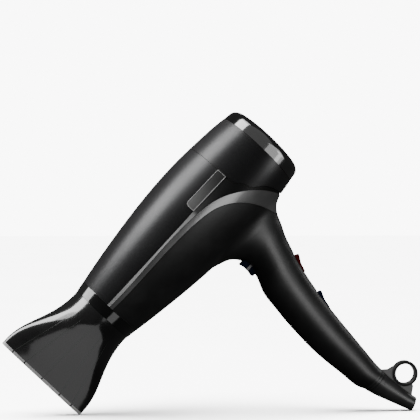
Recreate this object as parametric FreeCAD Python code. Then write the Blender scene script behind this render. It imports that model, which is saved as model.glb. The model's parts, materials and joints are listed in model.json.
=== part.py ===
import FreeCAD, Part
import math
import os

V = FreeCAD.Vector

# A hair dryer with a pull-off styling nozzle, a removable rear filter and a pistol handle.
# It is laid out in its own design frame, in millimetres: X runs along the barrel's axis from the
# nozzle to the rear, Z points away from the handle, Y is sideways, and X = 0 is the joint between
# the nozzle and the outlet collar. One placement at the end stands it on its nozzle and its cord
# guard, as it is put down on a table.

# --- driving dimensions ---------------------------------------------------------------------
STAND_TILT = 46.59          # degrees between the barrel's axis and the table
WALL = 2.2                  # casing walls
SEAM = 0.3                  # open line between two casing pieces
MOVE_CLEARANCE = 0.3        # round anything that moves by hand
RUN_CLEARANCE = 0.05        # radial, shaft in bearing
FIT = 0.1                   # between pieces glued or pressed together
SKIN = 1.0                  # thickness of inlaid badges

BARREL_START = 9.3
BARREL_END = 196.5
BARREL_PROFILE = [(BARREL_START, 31.6), (29, 34.9), (61, 39.4), (93, 42.8), (125, 44.5),
                  (145, 44.4), (169, 43.1), (185, 41.8), (BARREL_END, 40.2)]
MID_SEAM = 157.2            # joint of the front shell and the rear housing

COLLAR_FRONT_R = 30.1
COLLAR_REAR_R = 31.5
COLLAR_LENGTH = 9.0
SPIGOT_R = 25.5             # the nozzle slides over this
SPIGOT_WALL = 1.9
COLLAR_BORE_R = SPIGOT_R - SPIGOT_WALL
SPIGOT_LENGTH = 14.0

NOZZLE_LENGTH = 78.0
NOZZLE_WALL = 1.9
NOZZLE_R = 29.8
MOUTH_HALF_WIDTH = 46.0     # along Z
MOUTH_HALF_DEPTH = 7.0      # along Y
MOUTH_SQUARENESS = 3.6      # of the mouth's corners, 2 being an oval
LIP_LENGTH = 2.8
VANE_PITCH = 20.5
VANE_OUTER = 34.3
VANE_THICK = 1.2
NOTCH_WIDTH = 1.0           # marks on the mouth's frame beside each vane
NOTCH_DEPTH = 0.5
SNAP_X = -9.0
SNAP_WIDTH = 3.0
SNAP_THICK = 1.0

HANDLE_END = -214.8
# height, front edge, back edge and half-width of the handle's sections
HANDLE = [(-38.0, 90.0, 188.0, 15.5), (-41.8, 93.0, 183.5, 18.0), (-44.6, 99.5, 176.6, 19.2),
          (-48.6, 109.2, 171.4, 19.6), (-53.3, 114.3, 168.2, 19.4), (-60.0, 117.6, 165.2, 19.0),
          (-69.2, 117.7, 160.3, 18.4), (-80.0, 114.5, 156.1, 17.8), (-89.5, 110.2, 152.6, 17.4),
          (-104.0, 107.5, 148.3, 17.0), (-122.0, 105.2, 144.3, 16.6), (-140.0, 103.8, 141.2, 16.3),
          (-158.0, 103.1, 138.7, 16.0), (-176.5, 103.9, 136.5, 15.4),
          (-196.0, 105.5, 134.1, 14.5), (HANDLE_END, 109.2, 132.5, 13.0)]

NECK_BLEND = 15.0           # rounding between the barrel and the handle

# seam lines on the casing's side, as (X, Z)
STRIP_TOP = [(0.0, 4.0), (60.0, 4.9), (117.3, 6.2)]
SWOOSH_TOP = [(0.0, 1.8), (75.0, 3.2), (104.0, 3.2), (117.0, 2.3), (136.0, -1.0), (153.0, -9.0),
              (171.0, -24.4), (180.0, -37.6), (186.0, -50.0)]
SWOOSH_BOTTOM = [(0.0, -1.4), (70.0, -1.5), (104.0, -1.9), (120.5, -3.5), (132.0, -6.2),
                 (146.3, -14.6), (158.0, -28.6), (164.6, -41.8), (168.6, -54.6)]
REAR_EDGE = [(157.2, 6.4), (157.5, 0.9), (158.9, -3.8), (161.8, -7.1), (164.1, -10.0),
             (165.4, -14.6), (173.2, -21.9), (177.9, -28.1), (181.6, -36.3), (188.0, -48.0)]
BADGE_FRONT = 117.3
BADGE_HEIGHT = 8.8
BADGE_CORNER = 2.6
BADGE_PROUD = 0.25
LIP_RECESS = 0.9            # how deep the dark line over the swoosh lies
LIP_START = 165.2

GUARD_HEAD = 9.0            # length of the cord guard held inside the handle
GUARD_TILT = 22.8           # of the guard's tip from the handle's Z
CORD_R = 4.1
CORD_POCKET_R = 5.2         # where the cord's way bends
CORD_BEND_DEPTH = 24.0
GUARD = [(121.0, HANDLE_END, 0.0, 11.6, 10.6), (122.7, -227.3, 10.0, 9.9, 9.2),
         (125.2, -239.0, 14.0, 8.3, 7.9), (128.0, -250.9, 18.5, 6.9, 6.8),
         (130.0, -257.4, GUARD_TILT, 6.2, 6.2)]
LOOP_X = 144.2
LOOP_Z = -232.8
LOOP_R = 11.6
LOOP_HOLE_R = 8.5
LOOP_THICK = 5.0
LOOP_RIM = 0.6

BUTTON_TOP = -58.0
BUTTON_BOTTOM = -73.3
BUTTON_FACE = 112.8
BUTTON_DISH = 1.5
BUTTON_HALF_WIDTH = 7.0
BUTTON_TRAVEL = 2.0
BUTTON_FLANGE_X = 121.0 + WALL

ROCKER_HALF_LENGTH = 8.2
ROCKER_HALF_WIDTH = 4.6
ROCKER_TILT = 9.0           # each way from level
ROCKER_PIVOT_DEPTH = 6.5
PIN_R = 1.0
HEAT_ROCKER = (151.3, -95.6, 17.0)      # place on the handle's back, and its slope there
SPEED_ROCKER = (142.3, -133.0, 10.0)

REAR_RING_START = BARREL_END + 0.4
REAR_RING_END = 210.6
REAR_RING_R = 40.0
INLET_SPIGOT_R = 36.2
INLET_X = 189.0             # front of the fixed inlet
INLET_SEAT = 4.0            # length of its flange
INLET_GUARD = 2.5           # depth of its spokes
INLET_HOLE_R = 31.0

SLEEVE_R = 26.9
SLEEVE_WALL = 1.3
DUCT_R = 31.0
DUCT_WALL = 2.0
DUCT_START = 98.0
DUCT_END = 180.0
MOTOR_R = 14.5
MOTOR_START = 108.0
MOTOR_END = 150.0
SHAFT_R = 1.6
FAN_START = 153.0
FAN_END = 167.0
FAN_HUB_R = 9.0
FAN_BLADES = 7
FAN_GAP = 0.8
COIL_RINGS = [36.0, 48.0, 60.0, 72.0, 84.0]
SCREW_PLACES = [(127.0, -112.0), (124.0, -160.0), (120.0, -194.0)]
BOSS_R = 3.5
SCREW_R = 1.4

FAR = 70.0                  # past the casing's sides


# --- shapes ---------------------------------------------------------------------------------
def rod(x0, x1, radius, y=0.0, z=0.0):
    return Part.makeCylinder(radius, x1 - x0, V(x0, y, z), V(1, 0, 0))


def tube(x0, x1, outer, inner):
    return rod(x0, x1, outer).cut(rod(x0 - 1, x1 + 1, inner))


def block(x0, x1, y0, y1, z0, z1):
    return Part.makeBox(x1 - x0, y1 - y0, z1 - z0, V(x0, y0, z0))


def cross_pin(x, z, radius, y0, y1):
    return Part.makeCylinder(radius, y1 - y0, V(x, y0, z), V(0, 1, 0))


def point(place):
    return V(place[0], 0, place[1])


def polyline(places):
    return [Part.LineSegment(point(a), point(b)).toShape() for a, b in zip(places, places[1:])]


def smooth(places):
    curve = Part.BSplineCurve()
    curve.interpolate([point(place) for place in places])
    return curve.toShape()


def shifted(places, distance):
    """The places of a seam line, moved sideways; positive is to the left of its direction."""
    moved = []
    for i, (x, z) in enumerate(places):
        ahead = places[min(i + 1, len(places) - 1)]
        behind = places[max(i - 1, 0)]
        dx, dz = ahead[0] - behind[0], ahead[1] - behind[1]
        length = math.hypot(dx, dz)
        moved.append((x - dz / length * distance, z + dx / length * distance))
    return moved


def prism(edges, y0=-FAR, y1=FAR):
    wire = Part.Wire(Part.__sortEdges__(edges))
    face = Part.Face(wire)
    face.translate(V(0, y0, 0))
    return face.extrude(V(0, y1 - y0, 0))


def polygon_prism(places, y0=-FAR, y1=FAR):
    return prism(polyline(places + places[:1]), y0, y1)


def turned(places, closed_by):
    """A solid of revolution about the barrel's axis: a smooth outline closed by straight lines."""
    edges = [smooth(places)] + polyline([places[-1]] + closed_by + [places[0]])
    face = Part.Face(Part.Wire(Part.__sortEdges__(edges)))
    return face.revolve(V(0, 0, 0), V(1, 0, 0), 360)


def barrel(inset):
    outline = [(x, radius - inset) for x, radius in BARREL_PROFILE]
    return turned(outline, [(BARREL_END, 0), (BARREL_START, 0)])


def oval(x, z, tilt, half_x, half_y):
    """An ellipse across the handle or the guard, facing along the handle."""
    angle = math.radians(tilt)
    along = V(math.sin(angle), 0, -math.cos(angle))
    across = V(math.cos(angle), 0, math.sin(angle))
    major, minor = (half_x, half_y) if half_x >= half_y else (half_y, half_x)
    x_direction = across if half_x >= half_y else V(0, 1, 0)
    ellipse = Part.Ellipse(V(x, 0, z), major, minor)
    ellipse.Axis = along
    ellipse.XAxis = x_direction
    return Part.Wire([ellipse.toShape()])


def section_wire(z, front, back, half_width, inset):
    """A closed smooth section of the handle at one height, started at its back."""
    centre, half = (front + back) / 2, (back - front) / 2 - inset
    count = 24
    ring = []
    for i in range(count):
        angle = 2 * math.pi * i / count
        ring.append(V(centre + half * math.cos(angle), (half_width - inset) * math.sin(angle), z))
    curve = Part.BSplineCurve()
    curve.interpolate(ring, PeriodicFlag=True)
    return Part.Wire([curve.toShape()])


def handle(inset):
    wires = [section_wire(z, front, back, half_width, inset) for z, front, back, half_width in HANDLE]
    return Part.makeLoft(wires, True, False)


def nozzle_section(x, half_z, half_y, squareness):
    count = 32
    ring = []
    for i in range(count):
        angle = 2 * math.pi * i / count
        c, s = math.cos(angle), math.sin(angle)
        power = 2 / squareness
        ring.append(V(x, half_y * math.copysign(abs(s) ** power, s),
                      half_z * math.copysign(abs(c) ** power, c)))
    curve = Part.BSplineCurve()
    curve.interpolate(ring, PeriodicFlag=True)
    return Part.Wire([curve.toShape()])


# along the nozzle from the collar to the mouth's frame: the share of its length, how far it has
# widened and flattened from its neck to its mouth, and how square it is
NOZZLE_SHAPE = [(0.0, 0.0, 0.0, 2.0), (0.156, 0.01, 0.026, 2.0), (0.277, 0.105, 0.158, 2.05),
                (0.41, 0.278, 0.386, 2.2), (0.571, 0.562, 0.64, 2.5), (0.731, 0.833, 0.829, 2.9),
                (0.877, 0.981, 0.939, 3.2), (1.0, 1.0, 1.0, MOUTH_SQUARENESS)]


def nozzle_body(inset):
    wires = []
    for share, widened, flattened, squareness in NOZZLE_SHAPE:
        x = -SEAM - share * (NOZZLE_LENGTH - LIP_LENGTH - SEAM)
        half_z = NOZZLE_R + widened * (MOUTH_HALF_WIDTH - NOZZLE_R)
        half_y = NOZZLE_R - flattened * (NOZZLE_R - MOUTH_HALF_DEPTH)
        wires.append(nozzle_section(x, half_z - inset, half_y - inset, squareness))
    return Part.makeLoft(wires, True, False)


# --- casing ---------------------------------------------------------------------------------
outer_barrel = barrel(0)
inner_barrel = barrel(WALL)
outer_handle = handle(0)
inner_handle = handle(WALL)


def neck_blended(whole):
    """Rounds out the crease where the handle leaves the barrel: its only edge that isn't flat."""
    crease = [edge for edge in whole.Edges if edge.BoundBox.XLength > 1
              and edge.BoundBox.YLength > 1 and edge.BoundBox.ZLength > 1]
    return whole.makeFillet(NECK_BLEND, crease)


outside = neck_blended(outer_barrel.fuse(outer_handle))
hollow = inner_barrel.fuse(inner_handle)
casing = outside.cut(hollow)

half_seam = SEAM / 2
badge_bottom = STRIP_TOP[-1][1]
badge_top = badge_bottom + BADGE_HEIGHT


def half_space(side):
    """Everything on one side of the middle plane: -1 is the left, 1 the right."""
    if side < 0:
        return block(-FAR, 3 * FAR, -FAR, 0, -4 * FAR, FAR)
    return block(-FAR, 3 * FAR, 0, FAR, -4 * FAR, FAR)


def upper_front_shell():
    line = shifted(STRIP_TOP, half_seam)
    edges = [smooth(line)] + polyline([line[-1], (MID_SEAM - half_seam, badge_bottom + half_seam),
                                       (MID_SEAM - half_seam, FAR), (0, FAR), line[0]])
    shell = casing.common(prism(edges))
    pocket = outer_barrel.cut(barrel(SKIN + FIT)).common(badge_region(FIT))
    return shell.cut(pocket)


def badge_region(margin=0.0):
    x0, x1 = BADGE_FRONT - margin, MID_SEAM - half_seam + 1
    z0, z1 = badge_bottom - 1, badge_top + margin
    corner = BADGE_CORNER
    slant = [(x0, z0), (x0, z1 - corner), (x0 + corner / 3, z1 - corner / 3), (x0 + corner, z1),
             (x1, z1), (x1, z0)]
    return polygon_prism(slant)


def badge(side):
    plate = barrel(-BADGE_PROUD).cut(barrel(SKIN)).common(badge_region())
    limit = block(0, MID_SEAM - half_seam, -FAR, FAR, badge_bottom + half_seam, FAR)
    return plate.common(limit).common(half_space(side))


def side_trim(side):
    """The gloss strip, the dark panel behind the badge and the recessed line over the swoosh."""
    low = shifted(SWOOSH_TOP, half_seam)
    strip = shifted(STRIP_TOP, -half_seam)
    edge = shifted(REAR_EDGE, -half_seam)
    corner = (edge[0][0], strip[-1][1])
    top = polyline([strip[-1], corner, edge[0]]) if abs(corner[1] - edge[0][1]) > 1e-6 else \
        polyline([strip[-1], corner])
    outline = [smooth(low), smooth(strip), smooth(edge)] + top
    outline += polyline([low[0], strip[0]]) + polyline([edge[-1], low[-1]])
    panel = casing.common(prism(outline))
    recess = outside.cut(barrel(LIP_RECESS))
    recess = recess.common(block(LIP_START, BARREL_END, -FAR, FAR, -FAR, 0))
    panel = panel.cut(recess)
    return panel.common(half_space(side))


def swoosh_band():
    top = shifted(SWOOSH_TOP, -half_seam)
    bottom = shifted(SWOOSH_BOTTOM, half_seam)
    edges = [smooth(top), smooth(bottom)] + polyline([top[0], bottom[0]])
    edges += polyline([top[-1], (top[-1][0], bottom[-1][1]), bottom[-1]])
    return casing.common(prism(edges))


def rear_housing():
    edge = shifted(REAR_EDGE, half_seam)
    edges = [smooth(edge)] + polyline([edge[0], (edge[0][0], FAR), (BARREL_END + 1, FAR),
                                       (BARREL_END + 1, edge[-1][1]), edge[-1]])
    return casing.common(prism(edges))


def lower_body():
    line = shifted(SWOOSH_BOTTOM, -half_seam)
    edges = [smooth(line)] + polyline([line[-1], (190, line[-1][1]), (190, HANDLE_END - 1),
                                       (0, HANDLE_END - 1), line[0]])
    return casing.common(prism(edges))


# --- cool-shot button -----------------------------------------------------------------------
button_mid = (BUTTON_TOP + BUTTON_BOTTOM) / 2


def button_outline(margin, back):
    """The dished face of the button, seen from the side."""
    top, bottom = BUTTON_TOP + margin, BUTTON_BOTTOM - margin
    face = BUTTON_FACE - margin
    dish = Part.Arc(point((face, top)), point((face + BUTTON_DISH, button_mid)), point((face, bottom)))
    return [dish.toShape()] + polyline([(face, bottom), (back, bottom), (back, top), (face, top)])


def cool_shot_button():
    cap = prism(button_outline(0, BUTTON_FLANGE_X + 1.4), -BUTTON_HALF_WIDTH, BUTTON_HALF_WIDTH)
    front = [edge for edge in cap.Edges if edge.BoundBox.XMax < BUTTON_FACE + BUTTON_DISH + 0.1]
    cap = cap.makeFillet(0.9, front)
    flange = block(BUTTON_FLANGE_X, BUTTON_FLANGE_X + 1.4, -BUTTON_HALF_WIDTH - 1.4,
                   BUTTON_HALF_WIDTH + 1.4, BUTTON_BOTTOM, BUTTON_TOP)
    stem = rod(BUTTON_FLANGE_X + 1, STEM_END, 3.0, z=button_mid)
    stripe = stripe_shape()
    return cap.fuse(flange).fuse(stem).removeSplitter().cut(stripe)


STEM_END = BUTTON_FLANGE_X + 5.8
STRIPE_HALF = 1.1


def stripe_shape():
    """An inlay across the button's face and round onto its sides."""
    wide = BUTTON_HALF_WIDTH + 0.12
    outer = prism(button_outline(0.12, BUTTON_FLANGE_X - 0.4), -wide, wide)
    inner = prism(button_outline(-0.6, BUTTON_FLANGE_X - 0.4), -wide + 0.72, wide - 0.72)
    band = block(0, 2 * FAR, -FAR, FAR, button_mid - STRIPE_HALF, button_mid + STRIPE_HALF)
    return outer.cut(inner).common(band)


button_hole = prism(button_outline(MOVE_CLEARANCE, BUTTON_FLANGE_X - 0.3),
                    -BUTTON_HALF_WIDTH - MOVE_CLEARANCE, BUTTON_HALF_WIDTH + MOVE_CLEARANCE)
switch_x = STEM_END + BUTTON_TRAVEL + MOVE_CLEARANCE
cool_switch = block(switch_x, switch_x + 7, -5.5, 5.5, button_mid - 6, button_mid + 6)


def cool_switch_shelves(side):
    """Two ribs of the body half that hold the cool-shot switch."""
    y0, y1 = (5.5, FAR) if side > 0 else (-FAR, -5.5)
    ribs = block(switch_x, switch_x + 7, y0, y1, button_mid - 5, button_mid - 3)
    ribs = ribs.fuse(block(switch_x, switch_x + 7, y0, y1, button_mid + 3, button_mid + 5))
    return ribs.common(inner_handle)


# --- rocker switches ------------------------------------------------------------------------
def on_back(shape, place):
    """Moves a shape from the rocker's own frame to the handle's back.

    In that frame X points out of the handle, Z runs up along its back and the origin lies on it."""
    x, z, slope = place
    moved = shape.copy()
    moved.rotate(V(0, 0, 0), V(0, 1, 0), slope)
    moved.translate(V(x, 0, z))
    return moved


def rocker_profile(tilt, margin=0.0):
    length = ROCKER_HALF_LENGTH + margin
    crown, dip, waist = 1.6 + margin, 0.7 + margin, 3.0 + margin
    outline = [(crown, -length), (dip, 0), (crown, length), (-3 - margin, length), (-10.5, waist),
               (-10.5, -waist), (-3 - margin, -length)]
    solid = polygon_prism(outline, -ROCKER_HALF_WIDTH - margin, ROCKER_HALF_WIDTH + margin)
    solid.rotate(V(-ROCKER_PIVOT_DEPTH, 0, 0), V(0, 1, 0), tilt)
    return solid


def rocker(place):
    pin_hole = cross_pin(-ROCKER_PIVOT_DEPTH, 0, PIN_R + RUN_CLEARANCE, -FAR, FAR)
    return on_back(rocker_profile(ROCKER_TILT).cut(pin_hole).cut(rocker_mark_shape()), place)


def rocker_mark_shape():
    """A thin inlay across the dip of the rocker."""
    mark = block(-0.4, 0.95, -3.0, 3.0, -1.3, 1.3)
    cap = polygon_prism([(1.75, -ROCKER_HALF_LENGTH), (0.85, 0), (1.75, ROCKER_HALF_LENGTH),
                         (-1, ROCKER_HALF_LENGTH), (-1, -ROCKER_HALF_LENGTH)])
    mark = mark.common(cap)
    mark.rotate(V(-ROCKER_PIVOT_DEPTH, 0, 0), V(0, 1, 0), ROCKER_TILT)
    return mark


def rocker_hole(place):
    reach = ROCKER_HALF_LENGTH + 1.6
    width = ROCKER_HALF_WIDTH + MOVE_CLEARANCE
    return on_back(block(-8, 6, -width, width, -reach, reach), place)


EAR_IN = ROCKER_HALF_WIDTH + MOVE_CLEARANCE
EAR_OUT = EAR_IN + 1.6


def switch_body():
    """The switch under a rocker and its two ears, before the pin's hole."""
    body = block(-18, -12.4, -EAR_OUT, EAR_OUT, -9, 9)
    for side in (-1, 1):
        y0, y1 = sorted((side * EAR_IN, side * EAR_OUT))
        body = body.fuse(block(-12.5, -4.6, y0, y1, -3.2, 3.2))
    return body.removeSplitter()


def switch_module(place):
    hole = cross_pin(-ROCKER_PIVOT_DEPTH, 0, PIN_R, -FAR, FAR)
    return on_back(switch_body().cut(hole), place)


def rocker_pin(place):
    return on_back(cross_pin(-ROCKER_PIVOT_DEPTH, 0, PIN_R, -EAR_OUT, EAR_OUT), place)


def module_shelves(place, side):
    """Ribs of the body half that the switch module is clamped between."""
    y0, y1 = (EAR_OUT, FAR) if side > 0 else (-FAR, -EAR_OUT)
    ribs = block(-17.5, -12.9, y0, y1, -7, -5).fuse(block(-17.5, -12.9, y0, y1, 5, 7))
    return on_back(ribs, place).common(inner_handle)


# --- inside the handle ----------------------------------------------------------------------
BOARD_X = 114.5
BOARD_THICK = 1.6
BOARD_HALF_WIDTH = 10.5
BOARD_TOP = -122.0
BOARD_BOTTOM = -184.0
CLAMP_TOP = HANDLE_END + GUARD_HEAD + 6.5

board = block(BOARD_X, BOARD_X + BOARD_THICK, -BOARD_HALF_WIDTH, BOARD_HALF_WIDTH, BOARD_BOTTOM, BOARD_TOP)
board_chips = block(BOARD_X + BOARD_THICK, BOARD_X + BOARD_THICK + 3, -6, 4, -150, -136)
board_chips = board_chips.fuse(rod(BOARD_X + BOARD_THICK, BOARD_X + BOARD_THICK + 7, 4.0, z=-168.6))
terminal_block = block(BOARD_X + BOARD_THICK, BOARD_X + BOARD_THICK + 9, -8, 8, BOARD_BOTTOM, -174)
for y in (-5, 0, 5):
    terminal_block = terminal_block.cut(Part.makeCylinder(1.4, 20, V(BOARD_X + 6, y, -190)))


def board_rails(side):
    y0, y1 = (BOARD_HALF_WIDTH - 1, FAR) if side > 0 else (-FAR, 1 - BOARD_HALF_WIDTH)
    rails = [block(BOARD_X - 1.6, BOARD_X + BOARD_THICK + 1.6, y0, y1, z, z + 8)
             for z in (BOARD_TOP - 12, BOARD_BOTTOM + 4)]
    return rails[0].fuse(rails[1]).common(inner_handle).cut(board)


def screw_bosses(side):
    y0, y1 = (0, FAR) if side > 0 else (-FAR, 0)
    bosses = [cross_pin(x, z, BOSS_R, y0, y1) for x, z in SCREW_PLACES]
    return bosses[0].fuse(bosses[1:]).common(inner_handle)


SCREW_HEAD_R = 2.6
SCREW_HEAD_Y = 8.0
SCREW_TIP_Y = -9.0


def body_screws():
    return [cross_pin(x, z, SCREW_R, SCREW_TIP_Y, SCREW_HEAD_Y).fuse(
            cross_pin(x, z, SCREW_HEAD_R, SCREW_HEAD_Y - 0.1, SCREW_HEAD_Y + 2)).removeSplitter()
            .cut(block(x - 2, x + 2, SCREW_HEAD_Y + 1, SCREW_HEAD_Y + 3, z - 0.4, z + 0.4))
            for x, z in SCREW_PLACES]


def screw_holes():
    holes = [cross_pin(x, z, SCREW_R, SCREW_TIP_Y, SCREW_HEAD_Y).fuse(
             cross_pin(x, z, SCREW_HEAD_R + 0.1, SCREW_HEAD_Y - 0.1, FAR)) for x, z in SCREW_PLACES]
    return holes[0].fuse(holes[1:])


def body_half(side, whole):
    half = whole.common(half_space(side))
    ribs = [cool_switch_shelves(side), board_rails(side), screw_bosses(side),
            module_shelves(HEAT_ROCKER, side), module_shelves(SPEED_ROCKER, side)]
    half = half.fuse(ribs).removeSplitter()
    half = half.cut(on_back(switch_body(), HEAT_ROCKER)).cut(on_back(switch_body(), SPEED_ROCKER))
    half = half.cut(screw_holes()).cut(button_hole)
    half = half.cut(rocker_hole(HEAT_ROCKER)).cut(rocker_hole(SPEED_ROCKER))
    return half


# --- cord guard and hanging loop ------------------------------------------------------------
def guard_skin(inset=0.0):
    wires = [oval(x, z, tilt, half_x - inset, half_y - inset) for x, z, tilt, half_x, half_y in GUARD]
    return Part.makeLoft(wires, True, False)


guard_outer = guard_skin()


def cord_way():
    """The cord's way through the guard: along its tip, then up into the handle."""
    tip_x, tip_z, tilt = GUARD[-1][0], GUARD[-1][1], math.radians(GUARD_TILT)
    along = V(math.sin(tilt), 0, -math.cos(tilt))
    bend = V(tip_x, 0, tip_z) - along * CORD_BEND_DEPTH
    lower = Part.makeCylinder(CORD_R, CORD_BEND_DEPTH + 10, bend, along)
    top = V(GUARD[0][0], 0, CLAMP_TOP + 1)
    upper = Part.makeCylinder(CORD_R, (top - bend).Length, bend, top - bend)
    return lower.fuse(upper).fuse(Part.makeSphere(CORD_POCKET_R, bend))


def guard_head():
    throat = block(0, 2 * FAR, -FAR, FAR, HANDLE_END - 0.1, HANDLE_END + GUARD_HEAD)
    return handle(WALL + FIT).common(throat)


def cord_guard():
    grooves = Part.makeBox(60, 60, 0.8, V(95, -30, HANDLE_END - 2.6))
    grooves = grooves.fuse(Part.makeBox(60, 60, 0.8, V(95, -30, HANDLE_END - 5.2)))
    ring_cut = guard_outer.cut(guard_skin(0.7)).common(grooves)
    return guard_outer.fuse(guard_head()).removeSplitter().cut(ring_cut).cut(cord_way()).cut(clamp_screws())


def hang_loop():
    ring = cross_pin(LOOP_X, LOOP_Z, LOOP_R, -LOOP_THICK / 2, LOOP_THICK / 2)
    rim = cross_pin(LOOP_X, LOOP_Z, LOOP_HOLE_R + 1.3, -LOOP_THICK / 2 - LOOP_RIM, LOOP_THICK / 2 + LOOP_RIM)
    web = [(124.0, HANDLE_END - 0.2), (132.2, HANDLE_END - 0.2), (136.7, -219.3), (142.4, -221.0),
           (146.0, -232.0), (141.4, -246.0), (136.2, -249.3), (133.9, -251.4), (124.0, -240.0)]
    plate = polygon_prism(web, -LOOP_THICK / 2 + 0.6, LOOP_THICK / 2 - 0.6)
    hole = cross_pin(LOOP_X, LOOP_Z, LOOP_HOLE_R, -FAR, FAR)
    return ring.fuse([rim, plate]).removeSplitter().cut(hole).cut(guard_skin(-FIT))


def clamp_screws():
    """Two screws through the clamp's bar into the head of the guard."""
    screws = []
    for y in (-6.8, 6.8):
        shank = Part.makeCylinder(1.2, 9, V(GUARD[0][0], y, CLAMP_TOP - 9))
        head = Part.makeCylinder(2.1, 1.6, V(GUARD[0][0], y, CLAMP_TOP - 1.6))
        screws.append(shank.fuse(head).removeSplitter())
    return screws


def cord_clamp():
    bar = block(112.5, 129.5, -9, 9, HANDLE_END + GUARD_HEAD, CLAMP_TOP)
    return bar.common(handle(WALL + FIT)).cut(cord_way()).cut(clamp_screws())


# --- outlet and nozzle ----------------------------------------------------------------------
def cone_tube(x0, x1, r0, r1, bore):
    outline = [(x0, bore), (x0, r0), (x1, r1), (x1, bore), (x0, bore)]
    return Part.Face(Part.Wire(polyline(outline))).revolve(V(0, 0, 0), V(1, 0, 0), 360)


def outlet_collar():
    spigot = tube(-SPIGOT_LENGTH, 0.2, SPIGOT_R, COLLAR_BORE_R)
    band = cone_tube(0, COLLAR_LENGTH, COLLAR_FRONT_R, COLLAR_REAR_R, COLLAR_BORE_R)
    tail_r = BARREL_PROFILE[0][1] - WALL - 0.1
    tail = tube(COLLAR_LENGTH - 0.2, 20.0, tail_r, SLEEVE_R + 0.1)
    flange = tube(COLLAR_LENGTH - 1.5, COLLAR_LENGTH + 1.5, tail_r, COLLAR_BORE_R)
    return band.fuse([spigot, tail, flange]).removeSplitter()


def outlet_grille():
    rings = [tube(2.0, 4.5, outer, outer - 1.4) for outer in (COLLAR_BORE_R, 17.4, 10.8)]
    hub = rod(2.0, 4.5, 4.5)
    spokes = []
    for i in range(6):
        spoke = block(2.3, 4.2, 4.0, COLLAR_BORE_R - 0.7, -0.6, 0.6)
        spoke.rotate(V(0, 0, 0), V(1, 0, 0), 60 * i)
        spokes.append(spoke)
    return rings[0].fuse(rings[1:] + [hub] + spokes).removeSplitter()


snap_seat_r = SPIGOT_R + MOVE_CLEARANCE
snap_outer_r = snap_seat_r + SNAP_THICK


def nozzle_shell():
    shell = nozzle_body(0).cut(nozzle_body(NOZZLE_WALL))
    ledges = []
    for x in (SNAP_X - SNAP_WIDTH / 2 - MOVE_CLEARANCE - 1.2, SNAP_X + SNAP_WIDTH / 2 + MOVE_CLEARANCE):
        ledges.append(tube(x, x + 1.2, NOZZLE_R - NOZZLE_WALL + 0.3, SPIGOT_R + MOVE_CLEARANCE))
    return shell.fuse(ledges).removeSplitter()


def nozzle_snap_ring():
    ring = tube(SNAP_X - SNAP_WIDTH / 2, SNAP_X + SNAP_WIDTH / 2, snap_outer_r, snap_seat_r)
    return ring.cut(block(-20, 0, -2, 2, 0, FAR))


def mouth_frame(x0, x1, inset, extra=0.0):
    half_z, half_y = MOUTH_HALF_WIDTH + extra - inset, MOUTH_HALF_DEPTH + extra - inset
    face = Part.Face(nozzle_section(x0, half_z, half_y, MOUTH_SQUARENESS))
    return face.extrude(V(x1 - x0, 0, 0))


def nozzle_lip():
    """The mouth's frame, with its five cross vanes and a collar that sits inside the shell."""
    seam_x = -NOZZLE_LENGTH + LIP_LENGTH
    frame = mouth_frame(-NOZZLE_LENGTH, seam_x - 0.02, 0).cut(
            mouth_frame(-NOZZLE_LENGTH - 1, seam_x + 1, NOZZLE_WALL))
    insert = mouth_frame(-NOZZLE_LENGTH + 1, seam_x + 6, NOZZLE_WALL + 0.02).cut(
             mouth_frame(-NOZZLE_LENGTH, seam_x + 7, NOZZLE_WALL + 0.9))
    frame = frame.fuse(mouth_frame(-NOZZLE_LENGTH + 1, seam_x - 0.02, NOZZLE_WALL - 0.1).cut(
            mouth_frame(-NOZZLE_LENGTH, seam_x + 7, NOZZLE_WALL + 0.9)))
    vanes = []
    for z in VANE_PLACES:
        vane = block(-NOZZLE_LENGTH + 0.8, seam_x + 5.5, -FAR, FAR, z - VANE_THICK / 2, z + VANE_THICK / 2)
        vanes.append(vane.common(mouth_frame(-NOZZLE_LENGTH, seam_x + 6, NOZZLE_WALL + 0.5)))
    whole = frame.fuse([insert] + vanes).removeSplitter()
    rim = mouth_frame(-NOZZLE_LENGTH - 1, seam_x + 1, 0, 1).cut(
            mouth_frame(-NOZZLE_LENGTH - 2, seam_x + 2, NOTCH_DEPTH))
    for z in VANE_PLACES:
        whole = whole.cut(rim.common(block(-2 * FAR, 0, -FAR, FAR, z - NOTCH_WIDTH / 2, z + NOTCH_WIDTH / 2)))
    return whole


VANE_PLACES = (-VANE_OUTER, -VANE_PITCH, 0.0, VANE_PITCH, VANE_OUTER)


# --- rear filter ----------------------------------------------------------------------------
def rear_ring():
    """A gloss ring with a rounded rear edge that pulls off the inlet's spigot."""
    inner = INLET_SPIGOT_R + MOVE_CLEARANCE
    end = REAR_RING_END
    shoulder = (end - 7.1, REAR_RING_R - 0.8)
    start = [(REAR_RING_START, inner), (REAR_RING_START, REAR_RING_R), shoulder]
    corner = Part.Arc(point(shoulder), point((end - 3.0, REAR_RING_R - 2.6)), point((end - 0.6, 31.0)))
    close = [(end - 0.6, 31.0), (end, 29.5), (end, 28.0), (end - 4.4, 28.0), (end - 5.4, inner),
             (REAR_RING_START, inner)]
    edges = polyline(start) + [corner.toShape()] + polyline(close)
    face = Part.Face(Part.Wire(Part.__sortEdges__(edges)))
    return face.revolve(V(0, 0, 0), V(1, 0, 0), 360)


def rear_grille():
    """Rings and spokes across the inlet, inside the rear ring."""
    x0, x1 = REAR_RING_END - 3.2, REAR_RING_END - 1.2
    rings = [tube(x0, x1, outer, outer - 1.2) for outer in (28.0, 22.4, 16.8, 11.2)]
    hub = rod(x0, x1, 6.0)
    spokes = []
    for i in range(8):
        spoke = block(x0 + 0.2, x1 - 0.2, 5.5, 27.4, -0.6, 0.6)
        spoke.rotate(V(0, 0, 0), V(1, 0, 0), 45 * i)
        spokes.append(spoke)
    return rings[0].fuse(rings[1:] + [hub] + spokes).removeSplitter()


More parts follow.
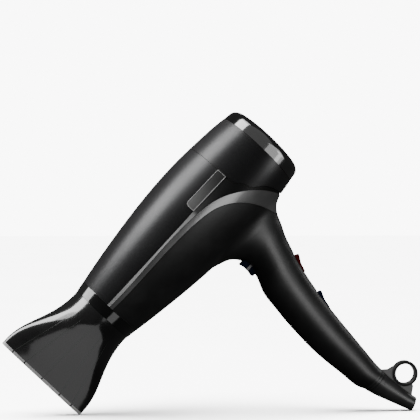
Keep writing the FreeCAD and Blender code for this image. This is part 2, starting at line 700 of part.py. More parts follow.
def filter_mesh():
    return rod(REAR_RING_END - 4.4, REAR_RING_END - 3.6, 27.8)


def inlet_frame():
    """The fixed inlet: a flange seated in the rear housing, a spigot and a spoked guard."""
    seat_end = INLET_X + INLET_SEAT
    seat = barrel(WALL + FIT).common(tube(INLET_X, seat_end, FAR, INLET_HOLE_R))
    spigot = tube(seat_end - 0.2, REAR_RING_END - 6.9, INLET_SPIGOT_R, INLET_HOLE_R)
    hub = rod(INLET_X, INLET_X + INLET_GUARD + 0.5, 8.0)
    spokes = []
    for i in range(6):
        spoke = block(INLET_X, INLET_X + INLET_GUARD, 7.5, INLET_HOLE_R + 0.5, -0.8, 0.8)
        spoke.rotate(V(0, 0, 0), V(1, 0, 0), 60 * i + 30)
        spokes.append(spoke)
    rings = [tube(INLET_X, INLET_X + INLET_GUARD, 20.6, 19.4)]
    return seat.fuse([spigot, hub] + spokes + rings).removeSplitter()


# --- heater ---------------------------------------------------------------------------------
COIL_R = 19.0
COIL_WIRE_R = 1.3


def heater_sleeve():
    return tube(12.0, 101.0, SLEEVE_R, SLEEVE_R - SLEEVE_WALL)


def coil_ring(x):
    return Part.makeTorus(COIL_R, COIL_WIRE_R, V(x, 0, 0), V(1, 0, 0))


def mica_frame():
    reach = SLEEVE_R - SLEEVE_WALL - FIT
    cross = block(26, 98, -0.6, 0.6, -reach, reach).fuse(block(26, 98, -reach, reach, -0.6, 0.6))
    cross = cross.common(rod(20, 99, reach)).removeSplitter()
    for x in COIL_RINGS:
        cross = cross.cut(coil_ring(x))
    return cross


def thermostat():
    base = Part.makeCylinder(5.0, 3.0, V(91, 0.6, 12), V(0, 1, 0))
    return base.fuse(Part.makeCylinder(3.6, 2.0, V(91, 3.5, 12), V(0, 1, 0))).removeSplitter()


def thermal_fuse():
    return Part.makeCylinder(1.4, 11, V(36, 2.0, 8), V(1, 0, 0))


def ioniser():
    body = block(60, 84, -8, 8, SLEEVE_R + 0.1, SLEEVE_R + 7.5)
    return body.fuse(rod(44, 61, 0.6, z=SLEEVE_R + 4)).removeSplitter()


# --- motor and fan --------------------------------------------------------------------------
BEARING_R = 5.0
BEARING_LENGTH = 4.0


def fan_duct():
    """The duct round the fan, with the vanes that carry the motor and feet to the casing."""
    pipe = tube(DUCT_START, DUCT_END, DUCT_R, DUCT_R - DUCT_WALL)
    lip = tube(DUCT_START, DUCT_START + 3, DUCT_R - 1, SLEEVE_R + 0.05)
    cup = tube(112, 142, MOTOR_R + 2, MOTOR_R)
    vanes = []
    for i in range(7):
        vane = block(114, 140, MOTOR_R + 1, DUCT_R - 1, -0.7, 0.7)
        vane.rotate(V(0, 0, 0), V(1, 0, 0), 360 / 7 * i)
        vanes.append(vane)
    feet = []
    for angle in (45, 135, 225, 315):
        foot = block(130, 140, DUCT_R - 1, FAR, -1.5, 1.5)
        foot.rotate(V(0, 0, 0), V(1, 0, 0), angle)
        feet.append(foot.common(barrel(WALL + FIT)))
    return pipe.fuse([lip, cup] + vanes + feet).removeSplitter()


def motor_can():
    can = rod(MOTOR_START, MOTOR_END, MOTOR_R)
    can = can.cut(rod(MOTOR_START + BEARING_LENGTH, MOTOR_END - BEARING_LENGTH, MOTOR_R - 1.2))
    can = can.cut(rod(MOTOR_START - 1, MOTOR_END + 1, BEARING_R))
    for i in range(4):
        angle = math.radians(45 + 90 * i)
        y, z = 9.6 * math.cos(angle), 9.6 * math.sin(angle)
        can = can.cut(rod(MOTOR_END - BEARING_LENGTH - 1, MOTOR_END + 1, 2.2, y, z))
    return can


def bearing(start):
    return tube(start, start + BEARING_LENGTH, BEARING_R, SHAFT_R + RUN_CLEARANCE)


def motor_magnets():
    ring = tube(MOTOR_START + 7, MOTOR_END - 7, MOTOR_R - 1.2 - FIT, MOTOR_R - 4)
    return ring.cut(block(0, 2 * FAR, -FAR, FAR, -3.5, 3.5))


def motor_armature():
    stack = tube(MOTOR_START + 9, MOTOR_END - 9, 9.6, SHAFT_R)
    for i in range(5):
        slot = block(MOTOR_START, MOTOR_END, 6.5, 12, -1.0, 1.0)
        slot.rotate(V(0, 0, 0), V(1, 0, 0), 72 * i)
        stack = stack.cut(slot)
    return stack


def rotor_shaft():
    return rod(MOTOR_START - 2, FAN_END + 1, SHAFT_R)


def fan():
    hub = tube(FAN_START, FAN_END, FAN_HUB_R, SHAFT_R)
    reach = rod(0, 2 * FAR + FAR, DUCT_R - DUCT_WALL - FAN_GAP)
    middle = (FAN_START + FAN_END) / 2
    blades = []
    for i in range(FAN_BLADES):
        blade = block(-6.5, 6.5, FAN_HUB_R - 1.5, DUCT_R, -0.7, 0.7)
        blade.rotate(V(0, 0, 0), V(0, 1, 0), 38)
        blade.translate(V(middle, 0, 0))
        blade.rotate(V(0, 0, 0), V(1, 0, 0), 360 / FAN_BLADES * i)
        blades.append(blade.common(reach))
    return hub.fuse(blades).removeSplitter().cut(rod(0, 3 * FAR, SHAFT_R))


# --- the whole dryer ------------------------------------------------------------------------
def build():
    """Every node's solids, in the design frame."""
    whole = lower_body()
    parts = {
        "upper_front_shell": upper_front_shell(),
        "rear_housing": rear_housing(),
        "left_body_half": body_half(-1, whole),
        "right_body_half": body_half(1, whole),
        "swoosh_band": swoosh_band(),
        "left_side_trim": side_trim(-1),
        "right_side_trim": side_trim(1),
        "left_badge": badge(-1),
        "right_badge": badge(1),
        "outlet_collar": outlet_collar(),
        "outlet_grille": outlet_grille(),
        "nozzle_shell": nozzle_shell(),
        "nozzle_lip": nozzle_lip(),
        "nozzle_snap_ring": nozzle_snap_ring(),
        "inlet_frame": inlet_frame(),
        "rear_ring": rear_ring(),
        "rear_grille": rear_grille(),
        "filter_mesh": filter_mesh(),
        "cool_shot_button": cool_shot_button(),
        "cool_shot_stripe": stripe_shape(),
        "cool_shot_switch": cool_switch,
        "heat_rocker": rocker(HEAT_ROCKER),
        "heat_rocker_mark": on_back(rocker_mark_shape(), HEAT_ROCKER),
        "heat_rocker_pin": rocker_pin(HEAT_ROCKER),
        "heat_switch": switch_module(HEAT_ROCKER),
        "speed_rocker": rocker(SPEED_ROCKER),
        "speed_rocker_mark": on_back(rocker_mark_shape(), SPEED_ROCKER),
        "speed_rocker_pin": rocker_pin(SPEED_ROCKER),
        "speed_switch": switch_module(SPEED_ROCKER),
        "circuit_board": board,
        "board_components": board_chips,
        "terminal_block": terminal_block,
        "body_screws": Part.makeCompound(body_screws()),
        "cord_clamp": cord_clamp(),
        "cord_clamp_screws": Part.makeCompound(clamp_screws()),
        "cord_guard": cord_guard(),
        "hang_loop": hang_loop(),
        "heater_sleeve": heater_sleeve(),
        "mica_frame": mica_frame(),
        "heater_coils": Part.makeCompound([coil_ring(x) for x in COIL_RINGS]),
        "thermostat": thermostat(),
        "thermal_fuse": thermal_fuse(),
        "ioniser": ioniser(),
        "fan_duct": fan_duct(),
        "motor_can": motor_can(),
        "front_bearing": bearing(MOTOR_START),
        "rear_bearing": bearing(MOTOR_END - BEARING_LENGTH),
        "motor_magnets": motor_magnets(),
        "motor_armature": motor_armature(),
        "rotor_shaft": rotor_shaft(),
        "fan": fan(),
    }
    return parts


def standing(shape, offset=V(0, 0, 0)):
    """Tilts a shape from the design frame to the pose it is put down in."""
    placed = shape.copy()
    placed.rotate(V(0, 0, 0), V(0, 1, 0), -STAND_TILT)
    placed.translate(offset)
    return placed


def ground_offset(parts):
    """The move that puts the middle of the standing dryer's box over the origin, on the floor."""
    box = standing(Part.makeCompound(list(parts.values()))).optimalBoundingBox(False, False)
    return V(-(box.XMin + box.XMax) / 2, -(box.YMin + box.YMax) / 2, -box.ZMin)


def main():
    os.makedirs("parts", exist_ok=True)
    parts = build()
    offset = ground_offset(parts)
    print("design origin in the standing frame", [round(c, 4) for c in offset])
    for name, shape in parts.items():
        placed = standing(shape, offset)
        print(name, len(placed.Solids), round(placed.Volume), placed.isValid())
        placed.exportStep("parts/" + name + ".step")


if __name__ == "__main__":
    main()
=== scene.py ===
import json
import math

import bmesh
import bpy
from mathutils import Matrix, Vector


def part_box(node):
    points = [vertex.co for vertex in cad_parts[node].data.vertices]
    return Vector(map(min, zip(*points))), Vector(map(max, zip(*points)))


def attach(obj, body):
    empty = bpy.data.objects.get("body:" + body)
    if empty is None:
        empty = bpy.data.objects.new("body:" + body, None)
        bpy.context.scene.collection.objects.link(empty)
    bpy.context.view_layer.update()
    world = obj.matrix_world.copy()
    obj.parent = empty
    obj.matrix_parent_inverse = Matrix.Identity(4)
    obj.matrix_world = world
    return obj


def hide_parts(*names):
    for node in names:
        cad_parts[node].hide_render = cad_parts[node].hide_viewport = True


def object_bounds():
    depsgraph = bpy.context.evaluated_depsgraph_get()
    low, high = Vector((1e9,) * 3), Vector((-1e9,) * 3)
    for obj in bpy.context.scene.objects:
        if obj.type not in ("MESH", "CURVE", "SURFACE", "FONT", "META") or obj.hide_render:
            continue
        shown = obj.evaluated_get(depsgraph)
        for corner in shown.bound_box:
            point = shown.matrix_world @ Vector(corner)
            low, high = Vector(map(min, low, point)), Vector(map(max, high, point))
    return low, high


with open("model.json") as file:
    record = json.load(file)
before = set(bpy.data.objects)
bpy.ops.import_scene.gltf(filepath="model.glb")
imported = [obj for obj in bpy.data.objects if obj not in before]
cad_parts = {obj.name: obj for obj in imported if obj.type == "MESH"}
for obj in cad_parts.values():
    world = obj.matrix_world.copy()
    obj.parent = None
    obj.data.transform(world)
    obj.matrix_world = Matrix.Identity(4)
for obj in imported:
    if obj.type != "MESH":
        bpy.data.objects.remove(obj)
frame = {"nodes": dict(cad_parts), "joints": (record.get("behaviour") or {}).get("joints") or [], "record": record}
nodes = frame["nodes"]
cad_box = [list(corner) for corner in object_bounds()]

MM = 0.001
MICRON = 0.000001


# --- the design frame -----------------------------------------------------------------------
# The barrel's axis comes from the joint that the nozzle turns on. Places along the barrel are
# millimetres behind the nozzle's seat on the collar.
SNAP_RING_X = -9.0
joints = {joint["name"]: joint for joint in frame["joints"]}
ALONG = Vector(joints["nozzle_spin"]["axis"]).normalized()
UP = ALONG.cross(Vector((0, 1, 0))).normalized()
AXIS_START = Vector(joints["nozzle_spin"]["pos_m"]) - ALONG * (SNAP_RING_X * MM)
TO_DESIGN = Matrix((ALONG, (0, 1, 0), UP))


def at(x, y, z):
    """A place given along the barrel, sideways and away from the handle, in millimetres."""
    return AXIS_START + ALONG * (x * MM) + Vector((0, y * MM, 0)) + UP * (z * MM)


def span_along(node):
    """Where a piece starts and ends along the barrel, in millimetres."""
    piece = nodes[node]
    places = [(piece.matrix_world @ vert.co - AXIS_START).dot(ALONG) / MM
              for vert in piece.data.vertices]
    return min(places), max(places)


BADGE_START, BADGE_END = span_along("left_badge")
LIP_START = span_along("nozzle_lip")[0]
NOTCHES = (-34.3, -20.5, 0.0, 20.5, 34.3)       # places of the notches across the nozzle's mouth


# --- shader maths ---------------------------------------------------------------------------
class Graph:
    """The nodes of a material or of the room; values in it can be added and multiplied."""

    def __init__(self, owner, output="OutputMaterial"):
        owner.use_nodes = True
        self.owner = owner
        self.tree = owner.node_tree
        self.tree.nodes.clear()
        self.output = self.tree.nodes.new("ShaderNode" + output)

    def node(self, kind, settings=None, inputs=None, output=0):
        made = self.tree.nodes.new("ShaderNode" + kind)
        for key, value in (settings or {}).items():
            setattr(made, key, value)
        for key, value in (inputs or {}).items():
            socket = made.inputs[key]
            if isinstance(value, Value):
                self.tree.links.new(value.socket, socket)
            else:
                socket.default_value = value
        return Value(self, made.outputs[output])

    def surface(self, shader):
        """Puts a shader on the output; returns the material or the room."""
        self.tree.links.new(shader.socket, self.output.inputs["Surface"])
        return self.owner

    def shade(self, **inputs):
        """The plastic or metal shader; keys use _ for the spaces of its sockets' names."""
        named = {key.replace("_", " "): value for key, value in inputs.items()}
        return self.surface(self.node("BsdfPrincipled", inputs=named))

    def place(self):
        """Place on the piece in its own frame, in metres."""
        return self.node("TexCoord", output="Object")

    def design_place(self):
        """The same, turned so that X runs along the barrel."""
        flat = self.place()
        rows = [flat.dot(tuple(row)) for row in TO_DESIGN]
        return self.node("CombineXYZ", inputs={"X": rows[0], "Y": rows[1], "Z": rows[2]})

    def noise(self, scale, detail=3.0, roughness=0.5, vector=None):
        vector = vector or self.place()
        return self.node("TexNoise", inputs={"Vector": vector, "Scale": scale, "Detail": detail,
                                             "Roughness": roughness})

    def bump(self, height, strength, microns):
        return self.node("Bump", inputs={"Height": height, "Strength": strength,
                                         "Distance": microns * MICRON})

    def mix(self, factor, first, second):
        return self.node("Mix", {"data_type": "RGBA"}, {0: factor, 6: first, 7: second}, output=2)


class Value:
    """One output of a node, as a number or vector to calculate with."""

    def __init__(self, graph, socket):
        self.graph = graph
        self.socket = socket

    def math(self, operation, other=None, swap=False):
        first, second = (other, self) if swap else (self, other)
        inputs = {0: first} if second is None else {0: first, 1: second}
        return self.graph.node("Math", {"operation": operation}, inputs)

    def __add__(self, other):
        return self.math("ADD", other)

    __radd__ = __add__

    def __sub__(self, other):
        return self.math("SUBTRACT", other)

    def __rsub__(self, other):
        return self.math("SUBTRACT", other, swap=True)

    def __mul__(self, other):
        return self.math("MULTIPLY", other)

    __rmul__ = __mul__

    def __truediv__(self, other):
        return self.math("DIVIDE", other)

    def __rtruediv__(self, other):
        return self.math("DIVIDE", other, swap=True)

    def __abs__(self):
        return self.math("ABSOLUTE")

    def dot(self, vector):
        return self.graph.node("VectorMath", {"operation": "DOT_PRODUCT"}, {0: self, 1: vector},
                               output="Value")

    def stretched(self, amounts):
        return self.graph.node("VectorMath", {"operation": "MULTIPLY"}, {0: self, 1: amounts})

    def between(self, low, high):
        """A smooth rise from 0 at low to 1 at high; low may be the larger one."""
        if low > high:
            return 1.0 - self.between(high, low)
        return self.graph.node("MapRange", {"interpolation_type": "SMOOTHSTEP"},
                               {0: self, 1: low, 2: high})


def new_material(name):
    return Graph(bpy.data.materials.new(name))


def grey(level, tint=0.0):
    return (level, level, level * (1 + tint), 1)


def scaled(colour, factor, lift=0.0):
    """A lighter or darker version of a colour."""
    return tuple(min(1.0, part * factor + lift) for part in colour[:3]) + (1,)


def along_barrel(graph):
    """Distance behind the nozzle's seat on the collar, in millimetres."""
    return (graph.place().dot(tuple(ALONG)) - AXIS_START.dot(ALONG)) * 1000.0


def above_axis(graph):
    """Distance from the barrel's axis away from the handle, in millimetres."""
    return (graph.place().dot(tuple(UP)) - AXIS_START.dot(UP)) * 1000.0


# --- finishes -------------------------------------------------------------------------------
# A grain is so many lumps in a metre, and its height is in microns.
def moulded(name, colour, rough, rough_spread, grain, grain_height, coat=0.0, metallic=0.0,
            specular=0.5, coat_rough=0.06):
    """Moulded plastic: a slightly uneven gloss, handling marks and a fine moulded grain."""
    graph = new_material(name)
    smudges = graph.noise(38.0, 4.0, 0.6)
    speck = graph.noise(grain, 2.0, 0.5)
    tone = smudges.between(0.3, 0.7)
    shade = graph.mix(tone, colour, scaled(colour, 1.25, 0.002))
    roughness = tone * rough_spread + (rough - rough_spread / 2) + (speck - 0.5) * (rough * 0.2)
    normal = graph.bump(speck, 0.6, grain_height)
    return graph.shade(Base_Color=shade, Roughness=roughness, Normal=normal, Coat_Weight=coat,
                       Coat_Roughness=coat_rough, Metallic=metallic, Specular_IOR_Level=specular)


def satin_paint(name, colour):
    """Satin black paint with a fine metallic flake."""
    graph = new_material(name)
    flake = graph.noise(5200.0, 1.0, 0.4).between(0.5, 0.72)
    cloud = graph.noise(26.0, 3.0, 0.55).between(0.3, 0.7)
    base = graph.mix(flake * 0.5, colour, grey(0.11))
    roughness = cloud * 0.04 + 0.31 + flake * 0.04
    normal = graph.bump(graph.noise(2600.0, 2.0, 0.5), 0.5, 12.0)
    return graph.shade(Base_Color=base, Roughness=roughness, Metallic=0.35, Normal=normal,
                       Specular_IOR_Level=0.5, Coat_Weight=0.15, Coat_Roughness=0.3)


def brushed(name, colour, rough, along=(900.0, 60.0, 60.0)):
    """Metal with fine brush lines across the barrel, or an even grain."""
    graph = new_material(name)
    lines = graph.noise(6.0, 3.0, 0.6, graph.design_place().stretched(along))
    shade = graph.mix(lines, colour, scaled(colour, 1.5))
    normal = graph.bump(lines, 0.25, 30.0)
    return graph.shade(Base_Color=shade, Roughness=lines * 0.12 + rough, Metallic=1.0,
                       Normal=normal)


def wound_wire(name, colour):
    """Turns of wire round a ring or a stack."""
    graph = new_material(name)
    turns = graph.node("TexWave", {"wave_type": "BANDS", "bands_direction": "X"},
                       {"Vector": graph.design_place(), "Scale": 260.0, "Distortion": 0.4},
                       output=1)
    shade = graph.mix(turns, colour, scaled(colour, 0.4))
    return graph.shade(Base_Color=shade, Roughness=turns * 0.2 + 0.3, Metallic=0.9,
                       Normal=graph.bump(turns, 0.7, 300.0))


def trim_paint():
    """The side trim: a grey strip ahead of the badge, dark satin below and behind it."""
    graph = new_material("side_trim_paint")
    grain = graph.noise(2600.0, 2.0, 0.5)
    behind = along_barrel(graph).between(BADGE_START - 3.3, BADGE_START + 1.7)
    shade = graph.mix(behind, grey(0.20), grey(0.016))
    roughness = graph.noise(30.0, 3.0).between(0.3, 0.7) * 0.05 + 0.3
    return graph.shade(Base_Color=shade, Roughness=roughness, Metallic=0.4,
                       Normal=graph.bump(grain, 0.5, 10.0))


def marks(value, half_width, softness):
    """One on each notch of the mouth and nothing between them."""
    return sum(abs(value - place).between(half_width + softness, half_width)
               for place in NOTCHES)


LINES_START = LIP_START + 1.5       # the faint lines on the nozzle start just behind its mouth
LINES_END = (74.0, 52.0)            # they fade out over this stretch behind their start
NOZZLE_TAPER = 0.0072               # share of the mouth's height that each millimetre takes off


def nozzle_polish(name, colour):
    """Polished nozzle plastic with faint lines that run from the mouth's notches to the neck."""
    graph = new_material(name)
    behind_mouth = along_barrel(graph) - LINES_START
    spread = above_axis(graph) / (1.0 - behind_mouth * NOZZLE_TAPER)
    lines = marks(spread, 0.12, 0.35) * behind_mouth.between(*LINES_END)
    smudges = graph.noise(32.0, 4.0, 0.6).between(0.3, 0.7)
    shade = graph.mix(smudges, colour, grey(0.013))
    height = lines * -1.0 + graph.noise(900.0) * 0.02
    return graph.shade(Base_Color=shade, Roughness=smudges * 0.05 + (lines * 0.2 + 0.15),
                       Normal=graph.bump(height, 0.35, 100.0), Coat_Weight=0.8,
                       Coat_Roughness=0.1)


def mouth_frame():
    """The light frame of the nozzle's mouth, with painted shade in its notches."""
    graph = new_material("grey_mouth_frame")
    speck = graph.noise(1800.0, 2.0, 0.5)
    # painted shade: the frame is painted near black where its notches are recessed
    shade = graph.mix(marks(above_axis(graph), 0.45, 0.2), grey(0.42), grey(0.01))
    return graph.shade(Base_Color=shade, Roughness=speck * 0.08 + 0.3,
                       Normal=graph.bump(speck, 0.4, 5.0))


def reflection_painted_badge_plate():
    """A brushed plate with a painted reflection: lighter toward its front end, darker toward the rear."""
    graph = new_material("reflection_painted_badge_plate")
    lines = graph.noise(6.0, 3.0, 0.6, graph.design_place().stretched((60.0, 900.0, 900.0)))
    painted_reflection_fade = along_barrel(graph).between(BADGE_START + 0.7, BADGE_END - 1.0)
    # painted reflection: the base colour fades from light grey at the front end to dark grey at the rear
    shade = graph.mix(painted_reflection_fade, grey(0.30), grey(0.08))
    return graph.shade(Base_Color=shade, Roughness=lines * 0.1 + 0.32, Metallic=0.35,
                       Normal=graph.bump(lines, 0.2, 20.0))


FINISHES = {
    "satin_black_shell": satin_paint("satin_black_paint", grey(0.028, 0.05)),
    "matte_black_body": moulded("matte_black_grip", grey(0.005), rough=0.42, rough_spread=0.06,
                                grain=3400.0, grain_height=20.0, specular=0.4),
    "gloss_black": moulded("polished_black", grey(0.006), rough=0.12, rough_spread=0.03,
                           grain=900.0, grain_height=2.0, coat=1.0),
    "grey_band": moulded("satin_grey_band", grey(0.10), rough=0.3, rough_spread=0.05,
                         grain=2200.0, grain_height=6.0, coat=0.3, coat_rough=0.15,
                         metallic=0.5),
    "smoked_nozzle": nozzle_polish("polished_nozzle", grey(0.008)),
    "nozzle_trim": mouth_frame(),
    "badge_metal": reflection_painted_badge_plate(),
    "badge_edge": moulded("badge_edge", grey(0.8), rough=0.25, rough_spread=0.04,
                          grain=1500.0, grain_height=3.0),
    "guard_rubber": moulded("guard_rubber", grey(0.014), rough=0.36, rough_spread=0.08,
                            grain=2600.0, grain_height=20.0),
    "loop_rubber": moulded("loop_rubber", grey(0.03), rough=0.42, rough_spread=0.08,
                           grain=2600.0, grain_height=20.0),
    "navy_button": moulded("navy_plastic", (0.004, 0.013, 0.05, 1), rough=0.24,
                           rough_spread=0.05, grain=1500.0, grain_height=5.0, coat=0.4),
    "red_rocker": moulded("red_plastic", (0.2, 0.005, 0.01, 1), rough=0.26,
                          rough_spread=0.05, grain=1500.0, grain_height=5.0, coat=0.4),
    "white_mark": moulded("white_ink", grey(0.8), rough=0.35, rough_spread=0.04,
                          grain=1500.0, grain_height=3.0),
    "grille_black": moulded("grille_black", grey(0.012), rough=0.42, rough_spread=0.08,
                            grain=2400.0, grain_height=10.0),
    "filter_steel": brushed("filter_steel", grey(0.3), 0.3, (400.0, 400.0, 400.0)),
    "inner_plastic": moulded("inner_plastic", grey(0.06), rough=0.5, rough_spread=0.08,
                             grain=1500.0, grain_height=10.0),
    "mica": moulded("mica_board", (0.5, 0.44, 0.32, 1), rough=0.45, rough_spread=0.15,
                    grain=700.0, grain_height=20.0),
    "heater_wire": wound_wire("heater_wire", (0.42, 0.36, 0.33, 1)),
    "steel": brushed("machined_steel", grey(0.55), 0.22),
    "magnet": moulded("ferrite", grey(0.05), rough=0.5, rough_spread=0.1, grain=1500.0,
                      grain_height=10.0),
    "fan_plastic": moulded("fan_nylon", (0.5, 0.49, 0.45, 1), rough=0.45, rough_spread=0.08,
                           grain=1500.0, grain_height=10.0),
    "circuit": moulded("board_lacquer", (0.02, 0.16, 0.06, 1), rough=0.3, rough_spread=0.08,
                       grain=900.0, grain_height=10.0),
    "bearing_brass": brushed("sintered_bronze", (0.6, 0.4, 0.18, 1), 0.3),
}


def dress(node, finish):
    piece = nodes[node]
    piece.data.materials.clear()
    piece.data.materials.append(finish)


TRIM_PAINT = trim_paint()
for subpart in frame["record"]["subparts"]:
    dress(subpart["node"], FINISHES[subpart["material_slot"]])
for side in ("left", "right"):
    dress(f"{side}_side_trim", TRIM_PAINT)


# --- added detail ---------------------------------------------------------------------------
def add_piece(name, verts, faces, body, finish, smooth=False):
    mesh = bpy.data.meshes.new(name)
    mesh.from_pydata(verts, [], faces)
    for face in mesh.polygons:
        face.use_smooth = smooth
    mesh.materials.append(finish)
    piece = bpy.data.objects.new(name, mesh)
    bpy.context.scene.collection.objects.link(piece)
    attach(piece, body)
    return piece


WIRE_R = 0.2                # the badge's edge wire
WIRE_SIDES = 6
WIRE_OVERLAP = 0.1          # each length of wire runs this far into the next
SAME_PLACE = 0.01           # corners nearer than this are one corner
SHARP = math.radians(50)    # folds over this are edges of the plate
FACING = 0.6                # how squarely a face looks outward


def outline_wire(node, side):
    """A fine bright wire along the outer edge of a plate."""
    plate = bmesh.new()
    plate.from_mesh(nodes[node].data)
    plate.transform(nodes[node].matrix_world)
    bmesh.ops.remove_doubles(plate, verts=plate.verts, dist=SAME_PLACE * MM)
    verts, faces = [], []
    for edge in plate.edges:
        if len(edge.link_faces) != 2 or edge.calc_face_angle() < SHARP:
            continue
        if max(face.normal.y * side for face in edge.link_faces) < FACING:
            continue
        start, end = (vert.co.copy() for vert in edge.verts)
        run = (end - start).normalized()
        across = run.cross(Vector((0, 1, 0))).normalized()
        first = len(verts)
        for place in (start - run * WIRE_OVERLAP * MM, end + run * WIRE_OVERLAP * MM):
            for i in range(WIRE_SIDES):
                turn = 2 * math.pi * i / WIRE_SIDES
                verts.append(place + (across * math.cos(turn)
                                      + run.cross(across) * math.sin(turn)) * WIRE_R * MM)
        far = first + WIRE_SIDES
        for i in range(WIRE_SIDES):
            beside = (i + 1) % WIRE_SIDES
            faces.append((first + i, first + beside, far + beside, far + i))
        faces.append(tuple(range(first, far)))
        faces.append(tuple(range(far + WIRE_SIDES - 1, far - 1, -1)))
    plate.free()
    add_piece(node + "_edge", verts, faces, "body", FINISHES["badge_edge"])


WEAVE_R = 27.5
WEAVE_PITCH = 1.5
WEAVE_BAR = 0.2             # half the width of a bar
WEAVE_LIFT = 0.1            # how far the two layers of bars lie from the middle


def filter_weave():
    """The woven filter behind the rear grille, bar by bar."""
    low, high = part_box("filter_mesh")
    centre = (low + high) / 2
    corners = ((-WEAVE_BAR, -WEAVE_BAR), (WEAVE_BAR, -WEAVE_BAR), (WEAVE_BAR, WEAVE_BAR),
               (-WEAVE_BAR, WEAVE_BAR))
    verts, faces = [], []
    count = int(WEAVE_R / WEAVE_PITCH)
    for crossing in (False, True):
        level = WEAVE_LIFT if crossing else -WEAVE_LIFT
        for i in range(-count, count + 1):
            offset = i * WEAVE_PITCH
            reach = math.sqrt(WEAVE_R ** 2 - offset ** 2)
            first = len(verts)
            for end in (-reach, reach):
                for across, depth in corners:
                    y, z = (offset + across, end) if crossing else (end, offset + across)
                    verts.append(centre + (ALONG * (depth + level) + UP * z) * MM
                                 + Vector((0, y * MM, 0)))
            for a, b in ((0, 1), (1, 2), (2, 3), (3, 0)):
                faces.append((first + a, first + b, first + 4 + b, first + 4 + a))
            faces.append((first, first + 3, first + 2, first + 1))
            faces.append((first + 4, first + 5, first + 6, first + 7))
    piece = add_piece("filter_weave", verts, faces, "rear_filter", FINISHES["filter_steel"])
    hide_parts("filter_mesh")


RIM_R = 10.1                # the bead round the hanging hole
BEAD_R = 1.15
RIM_OUT = 2.75              # the middle of each bead, sideways from the middle of the loop
RIM_STEPS = 72
BEAD_STEPS = 14


def torus(centre, verts, faces):
    """A ring of bead lying across Y, added to the lists."""
    first = len(verts)
    for i in range(RIM_STEPS):
        round_hole = 2 * math.pi * i / RIM_STEPS
        for j in range(BEAD_STEPS):
            round_bead = 2 * math.pi * j / BEAD_STEPS
            reach = RIM_R + BEAD_R * math.cos(round_bead)
            verts.append(centre + Vector((reach * math.cos(round_hole),
                                          BEAD_R * math.sin(round_bead),
                                          reach * math.sin(round_hole))) * MM)
            here, ahead = (first + step % RIM_STEPS * BEAD_STEPS for step in (i, i + 1))
            beside = (j + 1) % BEAD_STEPS
            faces.append((here + j, ahead + j, ahead + beside, here + beside))


def hang_loop_rims():
    """The raised bead round the hanging hole, on both sides of the loop."""
    hole = next(mount for mount in frame["record"]["mounts"] if mount["name"] == "hang_hole")
    verts, faces = [], []
    for side in (-1, 1):
        torus(Vector(hole["pos_m"]) + Vector((0, side * RIM_OUT * MM, 0)), verts, faces)
    add_piece("hang_loop_rims", verts, faces, "body", FINISHES["loop_rubber"],
              smooth=True)


hang_loop_rims()
filter_weave()
outline_wire("left_badge", -1)
outline_wire("right_badge", 1)


# --- floor, light and camera ----------------------------------------------------------------
MIDDLE = (Vector(cad_box[0]) + Vector(cad_box[1])) / 2
BACKDROP = 9.0              # brightness of the white room, as the camera sees it
ROOM = 0.03                 # the little light that the room itself gives
FLOOR_HALF = 8.0


def floor():
    graph = new_material("pale_floor")
    paint = graph.mix(graph.noise(3.0).between(0.2, 0.8), grey(0.90), grey(0.94))
    finish = graph.shade(Base_Color=paint, Roughness=0.7, Specular_IOR_Level=0.1)
    mesh = bpy.data.meshes.new("floor")
    corners = [(x * FLOOR_HALF, y * FLOOR_HALF, 0) for x, y in ((-1, -1), (1, -1), (1, 1), (-1, 1))]
    mesh.from_pydata(corners, [], [(0, 1, 2, 3)])
    mesh.materials.append(finish)
    sheet = bpy.data.objects.new("floor", mesh)
    bpy.context.scene.collection.objects.link(sheet)
    sheet.visible_glossy = False
    sheet.visible_diffuse = False
    sheet.visible_shadow = False
    return sheet


def studio():
    """A white room that is bright to the camera and gives next to no light."""
    graph = Graph(bpy.data.worlds.new("studio"), "OutputWorld")
    seen = graph.node("Background", inputs={"Color": grey(1.0), "Strength": BACKDROP})
    lit = graph.node("Background", inputs={"Color": grey(1.0), "Strength": ROOM})
    by_camera = graph.node("LightPath", output="Is Camera Ray")
    room = graph.surface(graph.node("MixShader", inputs={0: by_camera, 1: lit, 2: seen}))
    bpy.context.scene.world = room


def only_on(lamp, name, receivers):
    """A lamp that lights these pieces and nothing else."""
    group = bpy.data.collections.new(name)
    for receiver in receivers:
        group.objects.link(receiver)
    lamp.light_linking.receiver_collection = group


def hang_lamp(name, light):
    lamp = bpy.data.objects.new(name, light)
    bpy.context.scene.collection.objects.link(lamp)
    return lamp


def softbox(name, azimuth, elevation, distance, size, glow, across=(0, 0, 1), centre=MIDDLE,
            receivers=()):
    """A soft panel seen from the centre at this azimuth and elevation in degrees, of this glow.
    Azimuth is measured from the viewer's side toward +X. Across is the way its long side lies.
    With receivers, it lights only those nodes."""
    light = bpy.data.lights.new(name, "AREA")
    light.shape = "RECTANGLE"
    light.size, light.size_y = size
    light.energy = glow * math.pi * size[0] * size[1]
    lamp = hang_lamp(name, light)
    side, rise = math.radians(azimuth), math.radians(elevation)
    back = Vector((math.sin(side) * math.cos(rise), -math.cos(side) * math.cos(rise),
                   math.sin(rise)))
    long_side = (Vector(across) - back * back.dot(Vector(across))).normalized()
    short_side = long_side.cross(back)
    turn = Matrix((short_side, long_side, back)).transposed().to_4x4()
    turn.translation = centre + back * distance
    lamp.matrix_world = turn
    if receivers:
        only_on(lamp, name + "_pieces", [nodes[receiver] for receiver in receivers])


def floor_light(sheet):
    """An even light that lifts the floor to the backdrop's white, with a soft shadow."""
    light = bpy.data.lights.new("floor_light", "SUN")
    light.energy = BACKDROP * math.pi
    light.angle = math.radians(50)
    only_on(hang_lamp("floor_light", light), "lit_floor", [sheet])


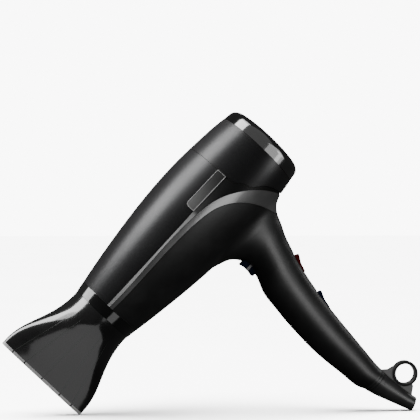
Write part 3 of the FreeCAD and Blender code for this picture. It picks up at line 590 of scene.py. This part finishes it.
def lamps_on_the_dryer():
    """Lamps for the whole dryer. The rear ring would catch a white rim from the two behind it."""
    far_side = [node for node in nodes if node != "rear_ring"]
    softbox("key", azimuth=-80, elevation=50, distance=1.4, size=(0.75, 1.1), glow=10.0,
            across=tuple(ALONG))
    softbox("right", azimuth=57, elevation=-4, distance=1.4, size=(0.4, 0.5), glow=5.5)
    softbox("far_side", azimuth=170, elevation=60, distance=1.5, size=(0.8, 1.0), glow=6.0,
            receivers=far_side)
    softbox("rear", azimuth=118, elevation=38, distance=1.5, size=(0.5, 0.9), glow=4.0,
            receivers=far_side)


def cards_on_pieces():
    """Cards that give single pieces the reflections which show their form."""
    nozzle = ["nozzle_shell", "nozzle_lip"]
    grip = ["left_body_half", "right_body_half", "cord_guard", "hang_loop"]
    collar, ring = ["outlet_collar"], ["rear_ring"]
    softbox("strip_card", azimuth=-12, elevation=-3, distance=1.0, size=(0.4, 0.4), glow=4.0,
            centre=at(60, 0, 2), receivers=["left_side_trim"])
    softbox("grip_card", azimuth=22, elevation=7, distance=1.2, size=(0.5, 0.6), glow=9.0,
            centre=at(130, 0, -120), receivers=grip)
    softbox("nozzle_panel", azimuth=-82, elevation=30, distance=0.9, size=(0.5, 0.8), glow=7.0,
            centre=at(-40, 0, 0), receivers=nozzle)
    softbox("collar_card", azimuth=-88, elevation=27, distance=0.9, size=(0.55, 0.5), glow=9.0,
            centre=at(5, 0, 0), receivers=collar)
    softbox("collar_low_card", azimuth=12, elevation=-32, distance=0.9, size=(0.35, 0.35),
            glow=1.0, centre=at(5, 0, 0), receivers=collar)
    softbox("nozzle_card", azimuth=-22, elevation=-42, distance=0.9, size=(1.1, 1.0), glow=0.8,
            centre=at(-40, 0, 0), receivers=nozzle)
    softbox("ring_panel", azimuth=-75, elevation=66, distance=1.0, size=(0.5, 0.5), glow=9.0,
            centre=at(200, 0, 0), receivers=ring)
    softbox("ring_card", azimuth=45, elevation=-4, distance=1.0, size=(0.9, 0.7), glow=4.0,
            centre=at(200, 0, 0), receivers=ring)
    softbox("ring_fill", azimuth=10, elevation=40, distance=1.0, size=(1.5, 1.3), glow=0.6,
            centre=at(200, 0, 0), receivers=ring)
    softbox("band_card", azimuth=20, elevation=-10, distance=1.0, size=(0.6, 0.4), glow=6.0,
            centre=at(120, 0, -10), receivers=["swoosh_band"])


CAMERA_YAW = math.radians(5.2)
CAMERA_DISTANCE = 1.1704
LENS = 114.0
SENSOR = 36.0
TARGET = Vector((-0.0023, 0, 0.1786))


def camera():
    lens = bpy.data.cameras.new("camera")
    lens.lens = LENS
    lens.sensor_width = SENSOR
    viewer = bpy.data.objects.new("camera", lens)
    bpy.context.scene.collection.objects.link(viewer)
    view = Vector((math.sin(CAMERA_YAW), math.cos(CAMERA_YAW), 0))
    viewer.location = TARGET - view * CAMERA_DISTANCE
    viewer.rotation_euler = view.to_track_quat("-Z", "Y").to_euler()
    bpy.context.scene.camera = viewer


floor_light(floor())
studio()
lamps_on_the_dryer()
cards_on_pieces()
camera()
